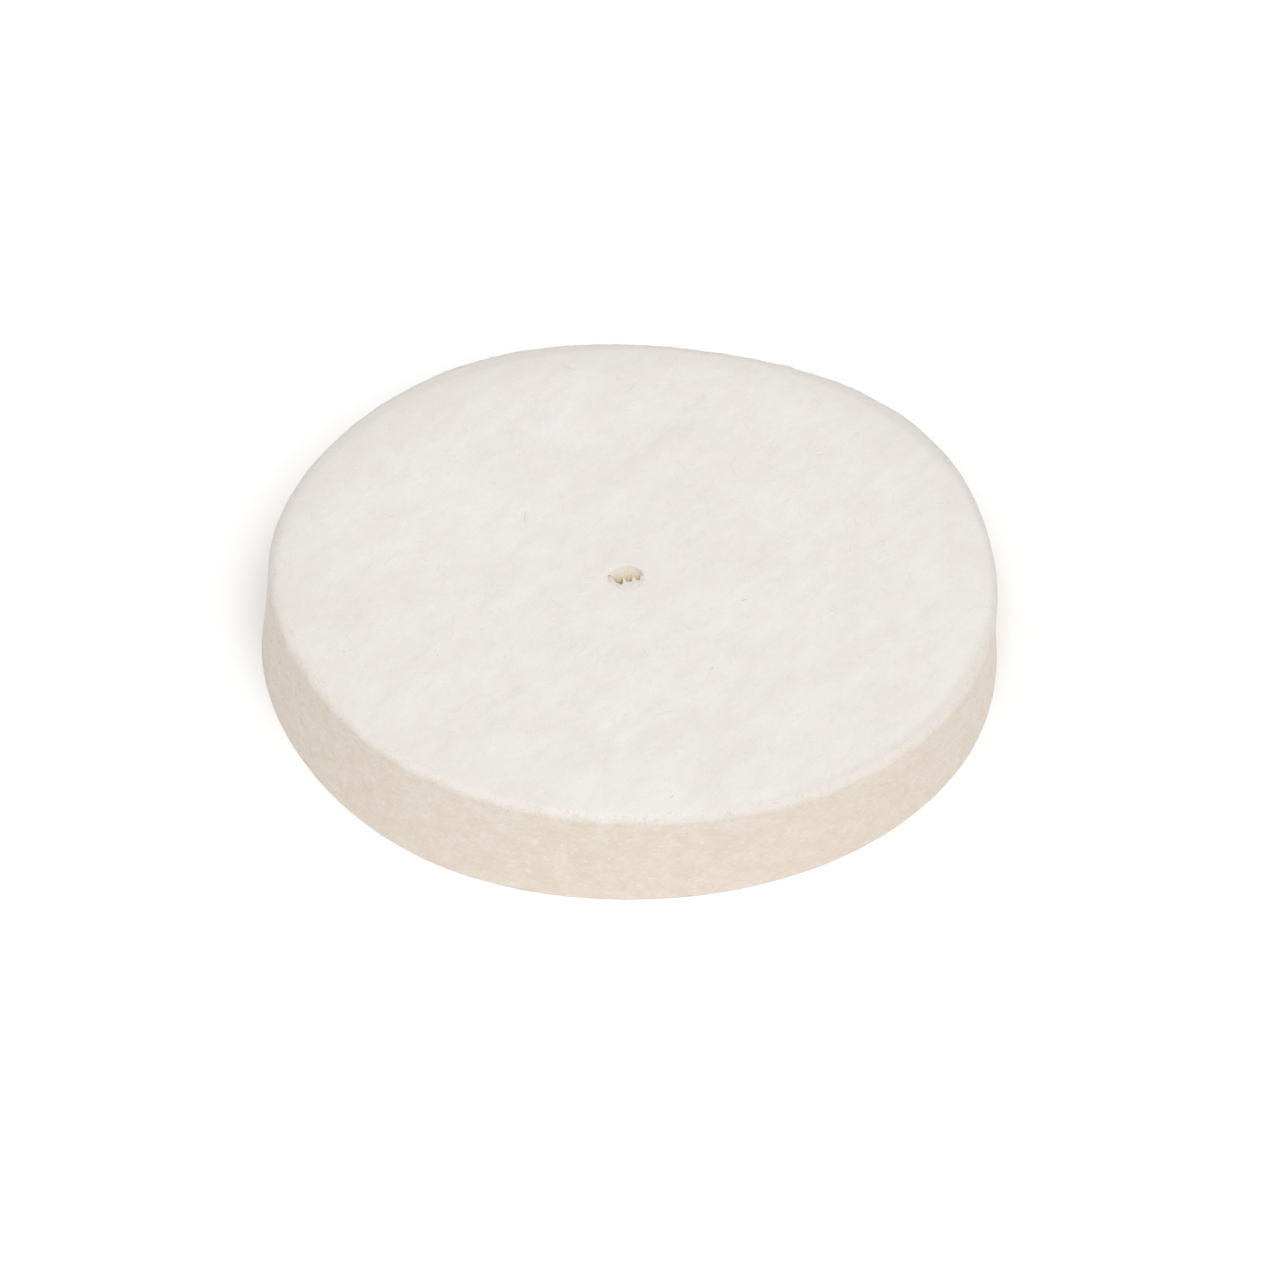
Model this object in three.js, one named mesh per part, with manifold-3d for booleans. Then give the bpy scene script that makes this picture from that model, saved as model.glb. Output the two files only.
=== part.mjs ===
// A felt polishing wheel: a small round disc cut with a die from a flat sheet of pressed white wool,
// and pierced through the middle with a pinhole for the screw of a mandrel. It is one piece of felt,
// with nothing fastened to it and nothing inside it.
//
// Millimetres, +Z up. The wheel lies on its underside, and the origin is the centre of that face.

import * as THREE from 'three';
import { mergeVertices } from 'three/addons/utils/BufferGeometryUtils.js';
import Module from 'manifold-3d';

// Driving dimensions
const WHEEL_DIAMETER = 22.2;     // a 7/8 in wheel
const WHEEL_THICKNESS = 3.175;   // cut from 1/8 in felt
const ARRIS_RADIUS = 0.15;       // the cut edges are soft, because their fibres have lost a neighbour
const RIM_WAIST = 0.04;          // felt is squeezed while it is cut, so the rim springs back slightly hollow
const PINHOLE_DIAMETER = 1.0;    // a 1/16 in pin makes it, and the felt closes up some way behind the pin
const PINHOLE_OFFSET = -0.3;     // the pin goes in a little to the -X side of the centre
const MOUTH_RADIUS = 0.08;       // rounding where the pin drew the fibres in at each mouth
const FELT_COLOUR = 0xebe7e2;    // undyed scoured wool

// How finely the round shapes are cut into flats
const WHEEL_SEGMENTS = 96;
const PINHOLE_SEGMENTS = 24;
const PROFILE_DIVISIONS = 3;

const wasm = await Module();
wasm.setup();

// A profile of radius against height, turned about the vertical axis
function turned(profile, segments) {
  const geometry = new THREE.LatheGeometry(profile.getPoints(PROFILE_DIVISIONS), segments);
  geometry.rotateX(Math.PI / 2);
  return geometry;
}

function toSolid(geometry) {
  geometry.deleteAttribute('normal');
  geometry.deleteAttribute('uv');
  const merged = mergeVertices(geometry);
  return new wasm.Manifold(new wasm.Mesh({
    numProp: 3,
    vertProperties: merged.attributes.position.array,
    triVerts: merged.index.array,
  }));
}

function toGeometry(solid) {
  const mesh = solid.getMesh();
  const geometry = new THREE.BufferGeometry();
  geometry.setAttribute('position', new THREE.BufferAttribute(mesh.vertProperties, mesh.numProp));
  geometry.setIndex(new THREE.BufferAttribute(mesh.triVerts, 1));
  geometry.computeVertexNormals();
  return geometry;
}

// The disc as the die leaves it: flat faces, soft arrises and a faintly hollow rim
function cutDisc() {
  const radius = WHEEL_DIAMETER / 2;
  const flatRadius = radius - ARRIS_RADIUS;
  const top = WHEEL_THICKNESS;
  const profile = new THREE.Path();
  profile.moveTo(0, 0);
  profile.lineTo(flatRadius, 0);
  profile.absarc(flatRadius, ARRIS_RADIUS, ARRIS_RADIUS, -Math.PI / 2, 0, false);
  profile.quadraticCurveTo(radius - 2 * RIM_WAIST, top / 2, radius, top - ARRIS_RADIUS);
  profile.absarc(flatRadius, top - ARRIS_RADIUS, ARRIS_RADIUS, 0, Math.PI / 2, false);
  profile.lineTo(0, top);
  return turned(profile, WHEEL_SEGMENTS);
}

// The space that the pin leaves: straight through, with a rounded mouth at each face
function pinholeSpace() {
  const radius = PINHOLE_DIAMETER / 2;
  const mouth = radius + MOUTH_RADIUS;
  const top = WHEEL_THICKNESS;
  const overrun = 1;
  const profile = new THREE.Path();
  profile.moveTo(0, -overrun);
  profile.lineTo(mouth, -overrun);
  profile.lineTo(mouth, 0);
  profile.absarc(mouth, MOUTH_RADIUS, MOUTH_RADIUS, -Math.PI / 2, -Math.PI, true);
  profile.lineTo(radius, top - MOUTH_RADIUS);
  profile.absarc(mouth, top - MOUTH_RADIUS, MOUTH_RADIUS, Math.PI, Math.PI / 2, true);
  profile.lineTo(mouth, top + overrun);
  profile.lineTo(0, top + overrun);
  const space = turned(profile, PINHOLE_SEGMENTS);
  space.translate(PINHOLE_OFFSET, 0, 0);
  return space;
}

function feltDisc() {
  const pierced = toSolid(cutDisc()).subtract(toSolid(pinholeSpace()));
  const felt = new THREE.MeshStandardMaterial({ color: FELT_COLOUR, roughness: 0.95, metalness: 0 });
  const disc = new THREE.Mesh(toGeometry(pierced), felt);
  disc.name = 'felt_disc';
  return disc;
}

const wheel = new THREE.Group();
wheel.add(feltDisc());

export default wheel;
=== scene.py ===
"""A felt polishing wheel: one disc of pressed white wool with a pinhole through its middle.

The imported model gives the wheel's size and place. This script replaces its plain solid with the felt
itself: a closed skin with the die's slightly uneven outline and the felt's own lumps, and the wool
fibres that lie on its faces, stand along its cut edges and cross its pinhole.

Lengths in the tables and functions below are millimetres; meshes are made in metres.
"""

import math

import bpy
import numpy as np
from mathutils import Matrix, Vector, noise


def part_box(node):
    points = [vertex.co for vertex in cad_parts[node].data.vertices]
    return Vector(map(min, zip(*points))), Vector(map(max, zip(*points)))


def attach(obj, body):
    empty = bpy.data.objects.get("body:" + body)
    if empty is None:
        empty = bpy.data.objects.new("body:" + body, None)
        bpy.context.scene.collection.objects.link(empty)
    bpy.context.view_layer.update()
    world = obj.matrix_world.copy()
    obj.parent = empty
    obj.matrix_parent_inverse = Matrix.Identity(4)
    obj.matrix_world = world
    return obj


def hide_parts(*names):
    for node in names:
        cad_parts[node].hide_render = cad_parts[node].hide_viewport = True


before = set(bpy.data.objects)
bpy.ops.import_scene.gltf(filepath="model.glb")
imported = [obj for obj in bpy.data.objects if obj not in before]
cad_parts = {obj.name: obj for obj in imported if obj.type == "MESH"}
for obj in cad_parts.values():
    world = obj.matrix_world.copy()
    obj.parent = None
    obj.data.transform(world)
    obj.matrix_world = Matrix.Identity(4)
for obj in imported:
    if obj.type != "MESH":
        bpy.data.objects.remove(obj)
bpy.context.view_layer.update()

# ---------------------------------------------------------------- driving dimensions, in millimetres

MM = 0.001
NODE = "felt_disc"

low, high = (np.array(corner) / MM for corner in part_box(NODE))
RADIUS = float(high[0] - low[0]) / 2
THICKNESS = float(high[2] - low[2])
PINHOLE_RADIUS = 0.5         # at its mouths
PINHOLE_HEADING = math.radians(8)    # the felt has closed up behind the pin, to a slit along this heading
SLIT_FRONT = -0.27           # the wool in front has crept this near to the slit's middle
SHELF_DEPTH = 0.08           # as a shelf this far below the face
SLIT_BACK = 0.12             # inside, the slit's back wall is at this share of the pinhole's radius
WALL_DEPTHS = (0.05, 0.32)   # that wall slopes in between these depths
BACK_CREEP = 0.62            # at its left end the wool behind has crept this share of the way to the slit
# The wool that all but crosses the slit: how far along it, how far across it reaches, and its width
SLIT_BRIDGES = (
    (-0.47, 0.34, 0.12), (-0.24, 0.04, 0.03), (-0.06, 0.38, 0.05),
    (0.07, 0.13, 0.06), (0.23, 0.33, 0.07), (0.35, 0.07, 0.025), (0.46, 0.2, 0.05),
)
PINHOLE_OFFSET = -0.2        # the pin went in a little to the -X side of the centre
OFFSET_FADE = 6.0            # the radius from which the felt no longer shows that offset
MOUTH_ROUNDING = 0.11
ARRIS_ROUNDING = 0.26        # the upper cut edge is soft
FOOT_ROUNDING = 0.03         # and the lower one is pressed flatter by what it rests on
EDGE_DROP = 0.12             # the top face falls away towards its edge
EDGE_BAND = 2.2              # over this width
NIBBLES = 0.05               # and the very edge is a little ragged
RIM_WAIST = 0.04             # the rim is very slightly hollow

# The die leaves the outline a little out of round, and the two faces aren't quite the same size.
# Each wave is how many crests go round, how far out they reach, and the angle of the first, in degrees.
TOP_WAVES = ((1, 0.25, 62), (2, 0.17, -56), (3, 0.05, 36), (4, 0.08, -44), (5, 0.07, -34), (6, 0.04, -11))
FLARE_WAVES = ((1, 0.12, -163), (2, 0.18, 41), (3, 0.04, 36))
TOP_GROWTH = 0.045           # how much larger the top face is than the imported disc's, beside its waves
FLARE = 0.12                 # and how much larger the underside is than the top face
EDGE_SHADE = 0.33           # painted shade: the faces are coloured warmer and darker along their edge, on one side more, the side away from the lamp
EDGE_SHADE_WAVES = ((1, 0.25, 125),)
ARRIS_SHADE = 0.8           # and more so on the arris itself: painted shade that dims the highlight the lamp makes there
LIP_SHADE = 0.4             # and painted shade along the lip of the shelf in the pinhole

MOUTH = PINHOLE_RADIUS + MOUTH_ROUNDING     # where the flat of a face begins
FLAT = RADIUS - ARRIS_ROUNDING              # where it ends on top
FOOT = RADIUS - FOOT_ROUNDING               # and underneath

LAY = math.radians(57)       # the way most fibres lie on the faces, from +X towards +Y
FIBRE_WIDTHS = (0.011, 0.024)

random = np.random.default_rng(7)


# ---------------------------------------------------------------- the surface of the felt

def waves(angle, table):
    """How far a set of waves reaches out at each angle."""
    return sum(reach * np.cos(count * (angle - math.radians(first))) for count, reach, first in table)


def fractal(points, size, octaves=3, seed=0.0):
    """Smooth noise, about -1 to 1, with lumps of the given size, or sizes along X, Y and Z."""
    shift = np.array([seed * 17.3, seed * 5.9, seed * 31.1])
    scaled = points / np.asarray(size) + shift
    return np.array([noise.fractal(Vector(p), 1.0, 2.0, octaves) for p in scaled])


def smooth_step(value, start, end):
    """0 at the start and beyond it, 1 at the end and beyond it, and a smooth ramp between."""
    share = np.clip((value - start) / (end - start), 0, 1)
    return share * share * (3 - 2 * share)


def turned_lay(points):
    """The points turned so that the lay of the faces runs along X."""
    c, s = math.cos(LAY), math.sin(LAY)
    turned = points.copy()
    turned[:, 0] = points[:, 0] * c + points[:, 1] * s
    turned[:, 1] = points[:, 1] * c - points[:, 0] * s
    return turned


def rim_share(radius, height):
    """0 on the faces and in the pinhole, 1 on the cut rim."""
    past_arris = radius - FLAT + THICKNESS - height
    return smooth_step(past_arris, 0.08, 0.72) * smooth_step(height, 0.0, 0.04)


def edge_shade_share(points):
    """How much painted shade a point takes: 0 over most of a face, and about 1 along its edge."""
    angle = np.arctan2(points[:, 1], points[:, 0])
    radius = np.hypot(points[:, 0], points[:, 1])
    broad = EDGE_SHADE + waves(angle, EDGE_SHADE_WAVES)
    arris = ARRIS_SHADE * smooth_step(radius, RADIUS - 0.4, RADIUS - 0.05)
    return broad * smooth_step(radius, RADIUS - EDGE_BAND, RADIUS) + arris


def shaped(points, normals):
    """Points of the plain disc moved to the real felt: out of round, and lumpy along their normals."""
    angle = np.arctan2(points[:, 1], points[:, 0])
    radius = np.hypot(points[:, 0], points[:, 1])
    down = np.clip(1 - points[:, 2] / THICKNESS, 0, 1)
    reach = TOP_GROWTH + waves(angle, TOP_WAVES) + down * (FLARE + waves(angle, FLARE_WAVES))
    grow = reach * np.clip(radius / RADIUS, 0, 1) ** 3
    moved = points.copy()
    moved[:, 0] += grow * np.cos(angle)
    moved[:, 1] += grow * np.sin(angle)
    edge = np.clip((radius - RADIUS + EDGE_BAND) / EDGE_BAND, 0, 1)
    nibbled = NIBBLES * (1 + fractal(moved, (0.9, 0.9, 2.0), 3, 4)) * edge ** 12
    moved[:, 2] -= (EDGE_DROP * edge ** 2.5 + nibbled) * (1 - down)
    lay = turned_lay(moved)
    rim = rim_share(radius, points[:, 2])
    broad = 0.018 * fractal(lay, (3.2, 1.8, 3.0), 2, 1)
    streaks = 0.012 * fractal(lay, (0.9, 0.4, 0.5), 2, 2)
    grain = 0.016 * fractal(moved, (0.5, 0.5, 0.16), 2, 3)
    underneath = 0.02 * smooth_step(down, 0.97, 1.0) * smooth_step(radius, RADIUS, RADIUS - 0.5)
    lumps = broad + (1 - rim) * streaks + rim * grain - underneath
    return moved + normals * lumps[:, None]


# ---------------------------------------------------------------- the profile of the disc

def arc(centre, radius, start, end, count):
    """Points and outward normals along an arc of the profile, without its last point."""
    angles = np.radians(np.linspace(start, end, count, endpoint=False))
    ray = np.stack([np.cos(angles), np.sin(angles)], 1)
    return np.asarray(centre) + radius * ray, ray


def straight(start, end, normal, step):
    """Points and normals along a straight stretch of the profile, without its last point."""
    start, end = np.asarray(start, float), np.asarray(end, float)
    count = max(2, round(np.linalg.norm(end - start) / step))
    share = np.linspace(0, 1, count, endpoint=False)[:, None]
    return start + share * (end - start), np.repeat([normal], count, 0).astype(float)


def felt_profile():
    """The closed profile of radius and height: up the pinhole, over the top, down the rim and back."""
    face_step, bore_step, arc_steps = 0.1, 0.06, 7
    middle, top = THICKNESS / 2, THICKNESS
    mouth_height, arris_height = top - MOUTH_ROUNDING, top - ARRIS_ROUNDING
    stretches = [
        straight((PINHOLE_RADIUS, middle), (PINHOLE_RADIUS, mouth_height), (-1, 0), bore_step),
        arc((MOUTH, mouth_height), MOUTH_ROUNDING, 180, 90, arc_steps),
        straight((MOUTH, top), (FLAT, top), (0, 1), face_step),
        arc((FLAT, arris_height), ARRIS_ROUNDING, 90, 0, arc_steps),
        straight((RADIUS, arris_height), (RADIUS, FOOT_ROUNDING), (1, 0), face_step),
        arc((FOOT, FOOT_ROUNDING), FOOT_ROUNDING, 0, -90, arc_steps),
        straight((FOOT, 0), (MOUTH, 0), (0, -1), face_step),
        arc((MOUTH, MOUTH_ROUNDING), MOUTH_ROUNDING, 270, 180, arc_steps),
        straight((PINHOLE_RADIUS, MOUTH_ROUNDING), (PINHOLE_RADIUS, middle), (-1, 0), bore_step),
    ]
    points = np.concatenate([p for p, _ in stretches])
    normals = np.concatenate([n for _, n in stretches])
    on_rim = points[:, 0] > RADIUS - 1e-6
    across = points[:, 1] / THICKNESS
    points[on_rim, 0] -= 4 * RIM_WAIST * (across * (1 - across))[on_rim]
    return points, normals


profile, profile_normals = felt_profile()
profile_length = np.concatenate([[0], np.cumsum(np.linalg.norm(np.diff(profile, axis=0), axis=1))])
QUARTER = math.pi / 2
TOP_START = float(profile_length[np.argmax(profile[:, 0] >= MOUTH - 1e-6)])
RIM_START = TOP_START + FLAT - MOUTH + QUARTER * ARRIS_ROUNDING
RIM_HEIGHT = THICKNESS - ARRIS_ROUNDING - FOOT_ROUNDING
UNDER_START = RIM_START + RIM_HEIGHT + QUARTER * FOOT_ROUNDING


def closed_up(x, y, radius, height):
    """Where the felt round the pinhole has crept to: a low shelf from the front, and a steep back wall."""
    c, s = math.cos(PINHOLE_HEADING), math.sin(PINHOLE_HEADING)
    along, across = x * c + y * s, y * c - x * s
    depth = np.minimum(height, THICKNESS - height)
    nearby = smooth_step(radius, MOUTH + 0.1, MOUTH - 0.05)
    shelf = nearby * smooth_step(depth, 0.0, SHELF_DEPTH)
    wall = nearby * smooth_step(depth, *WALL_DEPTHS)
    bridges = sum(reach * np.exp(-((along - place) / width) ** 2) for place, reach, width in SLIT_BRIDGES)
    bowed = np.sqrt(np.clip(1 - (along / PINHOLE_RADIUS) ** 2, 0, 1))
    lip = SLIT_FRONT * bowed + bridges
    front = across * (1 - shelf) + lip * shelf
    crept = BACK_CREEP * shelf * smooth_step(along, 0.3, -0.4)
    back = across * (1 - crept) * (1 - wall * (1 - SLIT_BACK))
    across = np.where(across < 0, front, np.maximum(back, lip * shelf))
    return along * c - across * s, along * s + across * c


def pinhole_shares(points):
    """How much each point takes of the rim's painted warm shade in the pinhole, on its back wall, deeper down
    and along the lip of the shelf, and how much of a painted dark brown shade deep inside the slit.
    """
    c, s = math.cos(PINHOLE_HEADING), math.sin(PINHOLE_HEADING)
    across = points[:, 1] * c - (points[:, 0] - PINHOLE_OFFSET) * s
    off_axis = np.hypot(points[:, 0] - PINHOLE_OFFSET, points[:, 1])
    near_hole = 1 - smooth_step(off_axis, PINHOLE_RADIUS, MOUTH + 0.08)
    depth = np.minimum(points[:, 2], THICKNESS - points[:, 2])
    lip = LIP_SHADE * smooth_step(np.abs(across - SLIT_FRONT), 0.2, 0.05)
    behind = smooth_step(across, 0.02, 0.18) * smooth_step(depth, 0.0, 0.05)
    warm_shade_share = np.maximum(behind, smooth_step(depth, 0.06, 0.15))
    return near_hole * np.maximum(warm_shade_share, lip), near_hole * smooth_step(depth, 0.1, 0.3)


def turned(angles, radius, height, outward, upward):
    """Points and normals of the plain disc from those of its profile, turned to each angle."""
    c, s = np.cos(angles), np.sin(angles)
    shift = PINHOLE_OFFSET * (1 - smooth_step(radius, PINHOLE_RADIUS, OFFSET_FADE))
    level = np.ones_like(c)
    x, y = closed_up(radius * c, radius * s, radius, height)
    points = np.stack([shift + x, y, height * level], -1)
    normals = np.stack([outward * c, outward * s, upward * level], -1)
    return points, normals


def on_felt(angles, lengths, lift):
    """Points at a lift above the felt, and its normals, at angles round it and lengths along its profile."""
    sources = (profile[:, 0], profile[:, 1], profile_normals[:, 0], profile_normals[:, 1])
    traced = [np.interp(lengths.ravel(), profile_length, values) for values in sources]
    points, normals = turned(angles.ravel(), *traced)
    placed = shaped(points, normals) + normals * lift.ravel()[:, None]
    return placed.reshape(*angles.shape, 3), normals.reshape(*angles.shape, 3)


# ---------------------------------------------------------------- meshes

def make_piece(name, points, faces, material, attributes, smooth):
    """A mesh object from points in millimetres, riding on the part and standing for its solid."""
    mesh = bpy.data.meshes.new(name)
    mesh.from_pydata((points * MM).tolist(), [], faces)
    # every piece carries how much painted shade it takes towards the edges of the faces
    for key, values in {**attributes, "edge_painted_shade": edge_shade_share(points)}.items():
        mesh.attributes.new(key, "FLOAT", "POINT").data.foreach_set("value", values.astype(np.float32))
    mesh.polygons.foreach_set("use_smooth", np.full(len(mesh.polygons), smooth))
    mesh.materials.append(material)
    mesh.update()
    piece = bpy.data.objects.new(name, mesh)
    bpy.context.scene.collection.objects.link(piece)
    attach(piece, "root")
    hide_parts(NODE)
    return piece


def ring_count(radius):
    """How many points a ring has: twice as many as the radius doubles, and more in the small pinhole."""
    fewest, fitting_radius = 60, 1.43
    if radius < MOUTH + 0.05:
        return 2 * fewest
    doublings = max(0, math.ceil(math.log2(max(radius, 0.1) / fitting_radius)))
    return fewest * 2 ** doublings


def bridge(first, second, first_count, second_count):
    """Faces between two rings, from their first vertices and their counts, one perhaps twice the other."""
    faces = []
    if first_count == second_count:
        for j in range(first_count):
            k = (j + 1) % first_count
            faces.append((first + j, second + j, second + k, first + k))
    elif second_count == 2 * first_count:
        for j in range(first_count):
            k = (j + 1) % first_count
            a, b, c = (second + (2 * j + i) % second_count for i in range(3))
            faces += [(first + j, a, b), (first + j, b, first + k), (first + k, b, c)]
    else:
        for j in range(second_count):
            k = (j + 1) % second_count
            a, b, c = (first + (2 * j + i) % first_count for i in range(3))
            faces += [(a, second + j, b), (b, second + j, second + k), (b, second + k, c)]
    return faces


def make_skin(material):
    """The felt's own surface, closed, with the pinhole through it."""
    points, normals, starts, counts = [], [], [], []
    total = 0
    for (radius, height), (outward, upward) in zip(profile, profile_normals):
        count = ring_count(radius)
        ring, ring_normals = turned(np.arange(count) * 2 * math.pi / count, radius, height, outward, upward)
        points.append(ring)
        normals.append(ring_normals)
        starts.append(total)
        counts.append(count)
        total += count
    faces = []
    for i in range(len(starts)):
        n = (i + 1) % len(starts)
        faces += bridge(starts[i], starts[n], counts[i], counts[n])
    points = np.concatenate(points)
    # painted shade in the pinhole: the rim's warm shade on its walls, and dark brown deep inside
    wall, inside = pinhole_shares(points)
    radius = np.hypot(points[:, 0], points[:, 1])
    attributes = {"rim": rim_share(radius, points[:, 2]), "wall": wall, "inside": inside}
    return make_piece("felt_skin", shaped(points, np.concatenate(normals)), faces, material, attributes, True)


# ---------------------------------------------------------------- fibres

FIBRE_POINTS = 6             # along each fibre, its two tips included
SHARE = np.linspace(0, 1, FIBRE_POINTS)


def between(limits, count, crowding=1.0):
    """Random values between two limits, more of them near the first the higher the crowding."""
    return limits[0] + (limits[1] - limits[0]) * random.random(count) ** crowding


def wandering(lengths, headings, bend):
    """Flat paths about their own middle, which set out along their headings and turn as they go."""
    steps = FIBRE_POINTS - 1
    arch = random.normal(0, bend, (len(lengths), 1)) * np.linspace(-1, 1, steps)
    kinks = random.normal(0, bend / 5, (len(lengths), steps))
    heading = headings[:, None] + arch + kinks
    moves = np.stack([np.cos(heading), np.sin(heading)], 2) * (lengths / steps)[:, None, None]
    paths = np.concatenate([np.zeros((len(lengths), 1, 2)), np.cumsum(moves, 1)], 1)
    return paths - paths.mean(1, keepdims=True)


def matted(count):
    """Lifts of fibres pressed into the felt, which dip in and out of it along their length."""
    waver = random.uniform(-0.003, 0.003, (count, FIBRE_POINTS))
    return waver - 0.01 * np.abs(2 * SHARE - 1) ** 3


def arched(heights):
    """Lifts of loose fibres whose two ends are in the felt."""
    return heights[:, None] * np.sin(math.pi * SHARE) - 0.012 * np.abs(2 * SHARE - 1) ** 3


def standing(heights):
    """Lifts of fibres that come out of the felt and end in the air."""
    return heights[:, None] * SHARE ** 1.3 - 0.015 * (1 - SHARE)


def fibre_shades(count, dark, white):
    """How each fibre is coloured: most near the felt's own colour, some darker and some whiter."""
    shades = random.normal(0, 0.25, count)
    pick, strength = random.random(count), 0.7 + 0.3 * random.random(count)
    shades = np.where(pick < dark, -strength, shades)
    return np.where(pick > 1 - white, strength, shades)


def spindles(paths, normals, widths, flatness):
    """Closed spindles along the paths: a tip at each end, and a ring of three points at each step between."""
    along = np.gradient(paths, axis=1)
    along /= np.linalg.norm(along, axis=2, keepdims=True)
    across = np.cross(along, normals)
    across /= np.maximum(np.linalg.norm(across, axis=2, keepdims=True), 1e-6)
    upward = np.cross(across, along) * flatness
    taper = (4 * SHARE * (1 - SHARE)) ** 0.4
    reach = (0.5 * widths[:, None] * taper)[..., None]
    corners = math.pi / 2 + np.arange(3) * 2 * math.pi / 3
    rings = [paths + reach * (math.cos(turn) * across + math.sin(turn) * upward) for turn in corners]
    rings = np.stack(rings, 2)[:, 1:-1].reshape(len(paths), -1, 3)
    return np.concatenate([paths[:, :1], rings, paths[:, -1:]], 1)


def spindle_faces(count):
    """The faces of a number of spindles."""
    last = 3 * (FIBRE_POINTS - 2) + 1
    one = []
    for k in range(3):
        n = (k + 1) % 3
        one.append((0, 1 + k, 1 + n))
        for ring in range(1, last - 3, 3):
            one.append((ring + n, ring + k, ring + 3 + k, ring + 3 + n))
        one.append((last - 3 + n, last - 3 + k, last))
    starts = range(0, count * (last + 1), last + 1)
    return [tuple(start + vertex for vertex in face) for start in starts for face in one]


def make_fibres(name, placed, material, rim, shades, widths=FIBRE_WIDTHS, flatness=0.25):
    """One piece of many fibres, which carries how much each takes of the rim's colour, painted shade and warm
    bounced light, and how dark or pale it is.
    """
    paths, normals = placed
    count = len(paths)
    points = spindles(paths, normals, between(widths, count), flatness)
    each = points.shape[1]
    attributes = {"rim": np.full(count * each, float(rim)), "shade": np.repeat(shades, each)}
    return make_piece(name, points.reshape(-1, 3), spindle_faces(count), material, attributes, False)


def on_face(middles, lengths, headings, lifts, bend=0.35, under=False):
    """Fibres lying on a face, some of them over its edge."""
    flat = wandering(lengths, headings, bend) + middles[:, None]
    radius = np.hypot(flat[..., 0], flat[..., 1])
    angles = np.arctan2(flat[..., 1], flat[..., 0])
    along = UNDER_START + FOOT - radius if under else TOP_START + radius - MOUTH
    return on_felt(angles, along, lifts)


def on_rim(angles, depths, lengths, headings, lifts, bend=0.3):
    """Fibres on the rim, at depths below its upper arris."""
    flat = wandering(lengths, headings, bend)
    around = angles[:, None] + flat[..., 0] / RADIUS
    return on_felt(around, RIM_START + depths[:, None] + flat[..., 1], lifts)


def anywhere(count):
    """Random places on a face, as far as its edge."""
    radius = np.sqrt(random.uniform((MOUTH + 0.3) ** 2, (FLAT + 0.1) ** 2, count))
    angle = random.uniform(0, 2 * math.pi, count)
    return np.stack([radius * np.cos(angle), radius * np.sin(angle)], 1)


def any_angle(count):
    """Random angles all round."""
    return random.uniform(0, 2 * math.pi, count)


def near(heading, degrees, count):
    """Headings spread about one, by so many degrees."""
    return heading + random.normal(0, math.radians(degrees), count)


def make_face_fibres(side, under, count, material):
    """The mat of a face: a layer any way, one mostly along the lay over it, and a few loose fibres."""
    lengths = between((0.25, 1.1), count, 1.4)
    crossed = on_face(anywhere(count), lengths, any_angle(count), matted(count), under=under)
    make_fibres(side + "_mat_crossed", crossed, material, 0, fibre_shades(count, 0.02, 0.05))
    lengths = between((0.3, 1.4), count, 1.4)
    laid = on_face(anywhere(count), lengths, near(LAY, 36, count), matted(count), under=under)
    make_fibres(side + "_mat_laid", laid, material, 0, fibre_shades(count, 0.02, 0.1))
    few = count // 14
    lifts = arched(between((0.002, 0.014), few, 2))
    loose = on_face(anywhere(few), between((0.3, 1.0), few), near(LAY, 45, few), lifts, under=under)
    make_fibres(side + "_loose_fibres", loose, material, 0, fibre_shades(few, 0, 0.7))


def make_rim_fibres(material):
    """The cut rim: fibres that the die laid over, mostly level as they lie in the sheet, and their ends."""
    count = 8000
    depths = random.uniform(-0.1, RIM_HEIGHT + 0.1, count)
    headings = np.where(random.random(count) < 0.6, near(0, 22, count), any_angle(count))
    laid = on_rim(any_angle(count), depths, between((0.1, 0.5), count, 1.5), headings, matted(count))
    make_fibres("rim_mat", laid, material, 1, fibre_shades(count, 0.04, 0.05))
    ends = 1800
    depths = random.uniform(0, RIM_HEIGHT, ends)
    lifts = standing(between((0.002, 0.03), ends, 2))
    cut = on_rim(any_angle(ends), depths, between((0.04, 0.16), ends), any_angle(ends), lifts)
    shades = fibre_shades(ends, 0.06, 0.15)
    make_fibres("rim_cut_ends", cut, material, 1, shades, widths=(0.01, 0.02), flatness=0.5)


def make_edge_fibres(material):
    """Fine ends along both arrises, and fibres of the top face that hang over its edge onto the rim."""
    count = 2400
    edge = QUARTER * ARRIS_ROUNDING
    depths = random.uniform(-edge, 0, count) + np.where(random.random(count) < 0.6, 0, RIM_HEIGHT + edge)
    lifts = standing(between((0.002, 0.045), count, 2))
    fuzz = on_rim(any_angle(count), depths, between((0.05, 0.3), count, 1.5), any_angle(count), lifts)
    shades = fibre_shades(count, 0.03, 0.1)
    make_fibres("edge_fuzz", fuzz, material, 0.4, shades, widths=(0.008, 0.016), flatness=0.4)
    tufts, together = 220, 8
    hung = tufts * together
    angles = np.repeat(any_angle(tufts), together) + random.normal(0, 0.012, hung)
    headings = np.repeat(near(QUARTER, 30, tufts), together) + random.normal(0, 0.25, hung)
    depths = np.repeat(between((-0.4, 0.0), tufts), together)
    lifts = arched(between((0.0, 0.01), hung, 2))
    over = on_rim(angles, depths, between((0.2, 0.75), hung, 1.5), headings, lifts)
    shades = fibre_shades(hung, 0, 0.1)
    make_fibres("overhanging_fibres", over, material, 0.1, shades, widths=(0.009, 0.017), flatness=0.3)


def in_pinhole(starts, angles, sideways, lifts):
    """Fibres in the pinhole, whose flat paths set out from places along its profile and angles round it."""
    around = angles[:, None] + sideways[..., 0] / PINHOLE_RADIUS
    return on_felt(around, starts[:, None] + sideways[..., 1], lifts)


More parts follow.
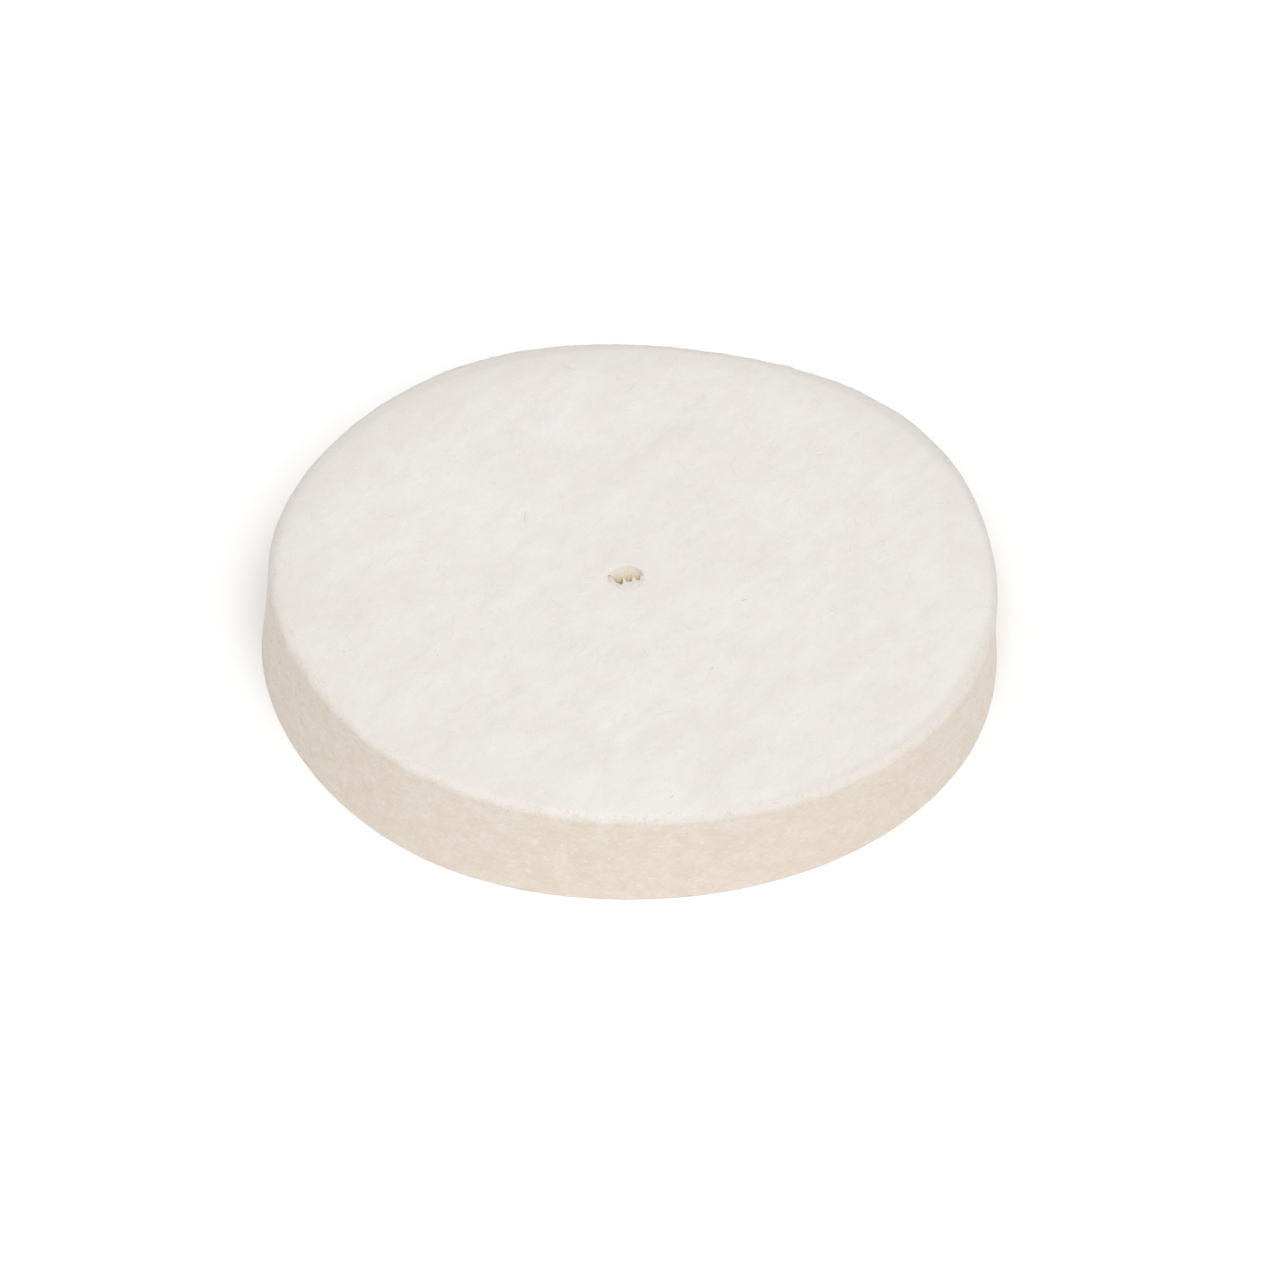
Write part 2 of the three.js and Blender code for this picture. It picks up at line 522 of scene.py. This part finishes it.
def make_pinhole_inner_fibres(material):
    """Fibres across the inside of the slit, well below its mouth."""
    count = 360
    starts = random.uniform(0, TOP_START - 0.35, count)
    lifts = standing(between((0.05, 0.4), count))
    sideways = wandering(between((0.05, 0.3), count), any_angle(count), 0.5)
    placed = in_pinhole(starts, any_angle(count), sideways, lifts)
    # a third of them darker, and all in the rim's colour: painted shade deep in the slit
    make_fibres("pinhole_inner_fibres", placed, material, 1, fibre_shades(count, 0.3, 0), flatness=0.5)


def make_pinhole_wall_fibres(material):
    """Short fibres on the wall of the pinhole, near its mouth."""
    count = 260
    starts = TOP_START - random.uniform(0.08, 0.4, count)
    lifts = standing(between((0.0, 0.03), count, 1.5))
    sideways = wandering(between((0.05, 0.25), count), any_angle(count), 0.5)
    placed = in_pinhole(starts, any_angle(count), sideways, lifts)
    shades = fibre_shades(count, 0, 0.1)
    # mostly in the rim's colour: painted shade and warm bounced light on the pinhole's wall
    make_fibres("pinhole_wall_fibres", placed, material, 0.8, shades, widths=(0.01, 0.018), flatness=0.5)


def make_pinhole_bridge_fibres(material):
    """Pale fibres along the wool that all but crosses the slit."""
    together = 14
    count = together * len(SLIT_BRIDGES)
    springs = [PINHOLE_HEADING - math.acos(place / PINHOLE_RADIUS) for place, _, _ in SLIT_BRIDGES]
    sideways = wandering(between((0.08, 0.3), count), near(QUARTER, 20, count), 0.3)
    angles = near(np.repeat(springs, together), 6, count)
    starts = TOP_START - random.uniform(-0.05, 0.13, count)
    lifts = standing(between((0.0, 0.015), count))
    placed = in_pinhole(starts, angles, sideways, lifts)
    shades = fibre_shades(count, 0, 0.4)
    make_fibres("pinhole_bridge_fibres", placed, material, 0.1, shades, widths=(0.008, 0.014), flatness=0.3)


# The darker hairs that came with the fleece: where each lies on the top face, its length and heading
DARK_HAIRS = (
    (-3.2, 2.8, 0.7, 86), (-7.3, 2.75, 0.22, 20), (-5.95, -3.7, 0.18, 60),
    (3.45, -1.1, 0.25, 30), (1.2, -10.1, 0.2, 70), (2.4, -4.25, 0.2, 45), (-8.9, -3.55, 0.2, 10),
)


def make_dark_hairs(material):
    table = np.array(DARK_HAIRS)
    count = len(table)
    lifts = arched(np.full(count, 0.012))
    placed = on_face(table[:, :2], table[:, 2], np.radians(table[:, 3]), lifts, bend=0.2)
    shades = random.uniform(-1, 1, count)
    make_fibres("dark_hairs", placed, material, 0, shades, widths=(0.014, 0.022), flatness=0.5)


# ---------------------------------------------------------------- materials

CREAM = (0.768, 0.75, 0.731)
CREAM_SHADE = (0.702, 0.668, 0.622)
WARM_CREAM = (0.745, 0.695, 0.633)
# The colour of the painted shade along the edges of the faces
EDGE_SHADE_CREAM = (0.667, 0.629, 0.583)
# The rim is the same wool as the faces: its peach is painted shade and warm light bounced onto the cut edge
PEACH = (0.695, 0.633, 0.575)
PEACH_SHADE = (0.655, 0.555, 0.45)
# Painted shade: dark brown deep inside the pinhole's slit
SLIT_SHADE_BROWN = (0.56, 0.42, 0.22)
# The fibres' colours are a little paler than the skin's: painted light that makes up for the shade on their
# own facets
FIBRE_CREAM = (0.78, 0.76, 0.736)
FIBRE_CREAM_SHADE = (0.737, 0.704, 0.661)
# The fibres' peach, like the skin's: painted shade and warm bounced light on the rim
FIBRE_PEACH = (0.715, 0.653, 0.595)
FIBRE_PEACH_SHADE = (0.68, 0.585, 0.485)
WHITE = (0.84, 0.82, 0.79)
TAN = (0.58, 0.49, 0.39)
HAIR = (0.54, 0.49, 0.42)
FLOOR = (0.925, 0.925, 0.925)
FLOOR_PALE = (0.94, 0.94, 0.94)


def matt_material(name):
    """A material with the constants that all the wool shares: matt, with a soft sheen."""
    material = bpy.data.materials.new(name)
    material.use_nodes = True
    shader = material.node_tree.nodes["Principled BSDF"]
    shader.inputs["Roughness"].default_value = 0.95
    shader.inputs["Specular IOR Level"].default_value = 0.2
    shader.inputs["Sheen Weight"].default_value = 0.2
    shader.inputs["Sheen Roughness"].default_value = 0.5
    return material, material.node_tree, shader


def put(tree, value, socket):
    """Sets a socket to a value, or links it to another node's output."""
    if isinstance(value, bpy.types.NodeSocket):
        tree.links.new(value, socket)
    elif isinstance(value, tuple) and socket.type == "RGBA":
        socket.default_value = (*value, 1)
    else:
        socket.default_value = value


def grain(tree, sizes, detail=3.0, turn=0.0):
    """Noise from 0 to 1 on the object itself, with lumps of the given sizes along turned X, Y and Z."""
    place = tree.nodes.new("ShaderNodeTexCoord")
    mapping = tree.nodes.new("ShaderNodeMapping")
    mapping.vector_type = "TEXTURE"
    mapping.inputs["Rotation"].default_value = (0, 0, turn)
    mapping.inputs["Scale"].default_value = tuple(size * MM for size in sizes)
    tree.links.new(place.outputs["Object"], mapping.inputs["Vector"])
    texture = tree.nodes.new("ShaderNodeTexNoise")
    texture.inputs["Scale"].default_value = 1
    texture.inputs["Detail"].default_value = detail
    tree.links.new(mapping.outputs["Vector"], texture.inputs["Vector"])
    return texture.outputs["Fac"]


def ramp(tree, value, start, end, low_value=0.0, high_value=1.0):
    """The value spread from one range to another, and kept inside it."""
    spread = tree.nodes.new("ShaderNodeMapRange")
    for socket, number in zip(spread.inputs, (value, start, end, low_value, high_value)):
        put(tree, number, socket)
    return spread.outputs["Result"]


def blend(tree, share, first, second):
    """One colour into another."""
    mix = tree.nodes.new("ShaderNodeMix")
    mix.data_type = "RGBA"
    first_colour, second_colour, mixed_colour = mix.inputs[6], mix.inputs[7], mix.outputs[2]
    put(tree, share, mix.inputs["Factor"])
    put(tree, first, first_colour)
    put(tree, second, second_colour)
    return mixed_colour


def plus(tree, first, second, scale=1.0):
    """The first value plus the second times a scale."""
    total = tree.nodes.new("ShaderNodeMath")
    total.operation = "MULTIPLY_ADD"
    put(tree, second, total.inputs[0])
    put(tree, scale, total.inputs[1])
    put(tree, first, total.inputs[2])
    return total.outputs[0]


def carried(tree, name):
    """A value that the mesh carries at each point."""
    attribute = tree.nodes.new("ShaderNodeAttribute")
    attribute.attribute_name = name
    return attribute.outputs["Fac"]


def bumped(tree, shader, height, depth):
    """Fine relief, with a depth in millimetres."""
    bump = tree.nodes.new("ShaderNodeBump")
    bump.inputs["Distance"].default_value = depth * MM
    tree.links.new(height, bump.inputs["Height"])
    tree.links.new(bump.outputs["Normal"], shader.inputs["Normal"])


def face_colour(tree, shade, cream):
    """Cream wool, in soft patches along the lay, some paler and some warmer, and painted shade towards its
    edges.
    """
    clouds = grain(tree, (2.8, 1.8, 2.0), 3, LAY)
    streaks = grain(tree, (0.9, 0.5, 0.6), 2, LAY)
    threads = grain(tree, (0.28, 0.1, 0.1), 2, LAY)
    mottle = plus(tree, ramp(tree, clouds, 0.3, 0.7, -0.1, 0.65), ramp(tree, streaks, 0.3, 0.7, 0, 0.5))
    mottle = plus(tree, mottle, ramp(tree, threads, 0.3, 0.7, -0.14, 0.14))
    colour = blend(tree, mottle, shade, cream)
    warm_clouds = ramp(tree, grain(tree, (1.6, 0.8, 1.0), 3, LAY), 0.4, 0.7, 0, 0.4)
    warm_threads = ramp(tree, grain(tree, (0.25, 0.15, 0.15), 2, LAY), 0.45, 0.7, 0, 0.3)
    colour = blend(tree, plus(tree, warm_clouds, warm_threads), colour, WARM_CREAM)
    # painted shade towards the edges of the faces, more on the side away from the lamp
    return blend(tree, carried(tree, "edge_painted_shade"), colour, EDGE_SHADE_CREAM)


def rim_colour(tree, shade, peach):
    """The rim's colour, painted shade and warm bounced light on the same wool as the faces, blotched paler
    and deeper, with a level grain and tan specks.
    """
    blotches = grain(tree, (0.65, 0.65, 0.45), 3)
    threads = grain(tree, (0.22, 0.22, 0.11), 3)
    mottle = plus(tree, ramp(tree, blotches, 0.3, 0.7, 0.1, 0.7), ramp(tree, threads, 0.3, 0.7, -0.18, 0.38))
    colour = blend(tree, mottle, shade, peach)
    flecks = ramp(tree, grain(tree, (0.2, 0.2, 0.12), 2), 0.6, 0.72, 0, 0.38)
    specks = ramp(tree, grain(tree, (0.14, 0.14, 0.07), 1), 0.76, 0.8, 0, 0.4)
    return blend(tree, specks, blend(tree, flecks, colour, CREAM), TAN)


def skin_material():
    material, tree, shader = matt_material("wool_felt_skin")
    ragged = ramp(tree, grain(tree, (0.5, 0.5, 0.35), 4), 0.25, 0.75, -0.35, 0.35)
    border = plus(tree, carried(tree, "rim"), ragged)
    # the rim and the pinhole's walls take the rim's colour: painted shade and warm bounced light
    warm_shade_share = ramp(tree, plus(tree, border, carried(tree, "wall")), 0.15, 0.85)
    colour = blend(tree, warm_shade_share, face_colour(tree, CREAM_SHADE, CREAM), rim_colour(tree, PEACH_SHADE, PEACH))
    # painted shade: dark brown deep inside the slit
    colour = blend(tree, carried(tree, "inside"), colour, SLIT_SHADE_BROWN)
    put(tree, colour, shader.inputs["Base Color"])
    put(tree, ramp(tree, grain(tree, (0.3, 0.3, 0.3)), 0.3, 0.7, 0.88, 1.0), shader.inputs["Roughness"])
    bumped(tree, shader, grain(tree, (0.09, 0.04, 0.04), 3, LAY), 0.008)
    return material


def fibre_material():
    """Single fibres: the skin's colours, a little paler as painted light that makes up for the shade on their
    own facets, each fibre darker or whiter, and paler along parts of it.
    """
    material, tree, shader = matt_material("wool_fibres")
    creamy = face_colour(tree, FIBRE_CREAM_SHADE, FIBRE_CREAM)
    own = blend(tree, carried(tree, "rim"), creamy, rim_colour(tree, FIBRE_PEACH_SHADE, FIBRE_PEACH))
    shade = carried(tree, "shade")
    colour = blend(tree, ramp(tree, shade, 0, 1, 0, 0.5), own, WHITE)
    colour = blend(tree, ramp(tree, shade, 0, -1, 0, 0.4), colour, TAN)
    put(tree, colour, shader.inputs["Base Color"])
    bumped(tree, shader, grain(tree, (0.02, 0.02, 0.02), 1), 0.003)
    return material


def hair_material():
    material, tree, shader = matt_material("dark_wool_hair")
    patches = grain(tree, (0.1, 0.1, 0.1), 2)
    put(tree, blend(tree, ramp(tree, patches, 0.35, 0.65, 0, 0.7), HAIR, TAN), shader.inputs["Base Color"])
    return material


def floor_material():
    material, tree, shader = matt_material("pale_floor")
    shader.inputs["Sheen Weight"].default_value = 0
    clouds = ramp(tree, grain(tree, (30, 30, 30), 2), 0.3, 0.7)
    put(tree, blend(tree, clouds, FLOOR, FLOOR_PALE), shader.inputs["Base Color"])
    return material


# ---------------------------------------------------------------- stage, lights and camera

def make_floor():
    reach = 1.5
    corners = [(-reach, -reach, 0), (reach, -reach, 0), (reach, reach, 0), (-reach, reach, 0)]
    mesh = bpy.data.meshes.new("floor")
    mesh.from_pydata(corners, [], [(0, 1, 2, 3)])
    mesh.materials.append(floor_material())
    floor = bpy.data.objects.new("floor", mesh)
    bpy.context.scene.collection.objects.link(floor)


def make_key_light():
    """One large soft light aimed at the wheel from in front of it, above and a little to the right."""
    azimuth, elevation, distance = math.radians(11.5), math.radians(55), 0.9
    light = bpy.data.lights.new("key", "AREA")
    light.size = 0.63
    light.energy = 4.86
    lamp = bpy.data.objects.new("key", light)
    across, forward = math.sin(azimuth) * math.cos(elevation), math.cos(azimuth) * math.cos(elevation)
    towards = Vector((across, -forward, math.sin(elevation)))
    lamp.location = towards * distance
    lamp.rotation_mode = "QUATERNION"
    lamp.rotation_quaternion = (-towards).to_track_quat("-Z", "Y")
    bpy.context.scene.collection.objects.link(lamp)


def make_surroundings():
    """Even white light from all round, and colours shown as they are."""
    world = bpy.data.worlds.new("studio")
    world.use_nodes = True
    background = world.node_tree.nodes["Background"]
    background.inputs["Color"].default_value = (1, 1, 1, 1)
    background.inputs["Strength"].default_value = 0.7
    bpy.context.scene.world = world
    bpy.context.scene.view_settings.view_transform = "Standard"


def make_camera():
    """A long lens in front of the wheel and above it."""
    elevation, distance = math.radians(40.9), 40 * RADIUS * MM
    share_of_width = 0.572       # the wheel's width in the picture's
    right, down = 0.021, 0.066   # where the picture's centre lies, in wheel radii from the wheel's
    camera = bpy.data.cameras.new("camera")
    camera.sensor_width = 36
    camera.lens = camera.sensor_width * share_of_width * distance / (2 * RADIUS * MM)
    camera.clip_start, camera.clip_end = 0.01, 10
    back = Vector((0, -math.cos(elevation), math.sin(elevation)))
    up = Vector((0, math.sin(elevation), math.cos(elevation)))
    centre = Vector((0, 0, THICKNESS * MM / 2)) + RADIUS * MM * (right * Vector((1, 0, 0)) - down * up)
    holder = bpy.data.objects.new("camera", camera)
    holder.location = centre + back * distance
    holder.rotation_mode = "QUATERNION"
    holder.rotation_quaternion = (-back).to_track_quat("-Z", "Y")
    bpy.context.scene.collection.objects.link(holder)
    bpy.context.scene.camera = holder


# ---------------------------------------------------------------- the scene

make_camera()
make_surroundings()
make_key_light()
make_floor()

skin = make_skin(skin_material())

fibre = fibre_material()
make_face_fibres("top", False, 8000, fibre)
make_face_fibres("underside", True, 5000, fibre)
make_rim_fibres(fibre)
make_edge_fibres(fibre)
make_pinhole_inner_fibres(fibre)
make_pinhole_wall_fibres(fibre)
make_pinhole_bridge_fibres(fibre)
make_dark_hairs(hair_material())
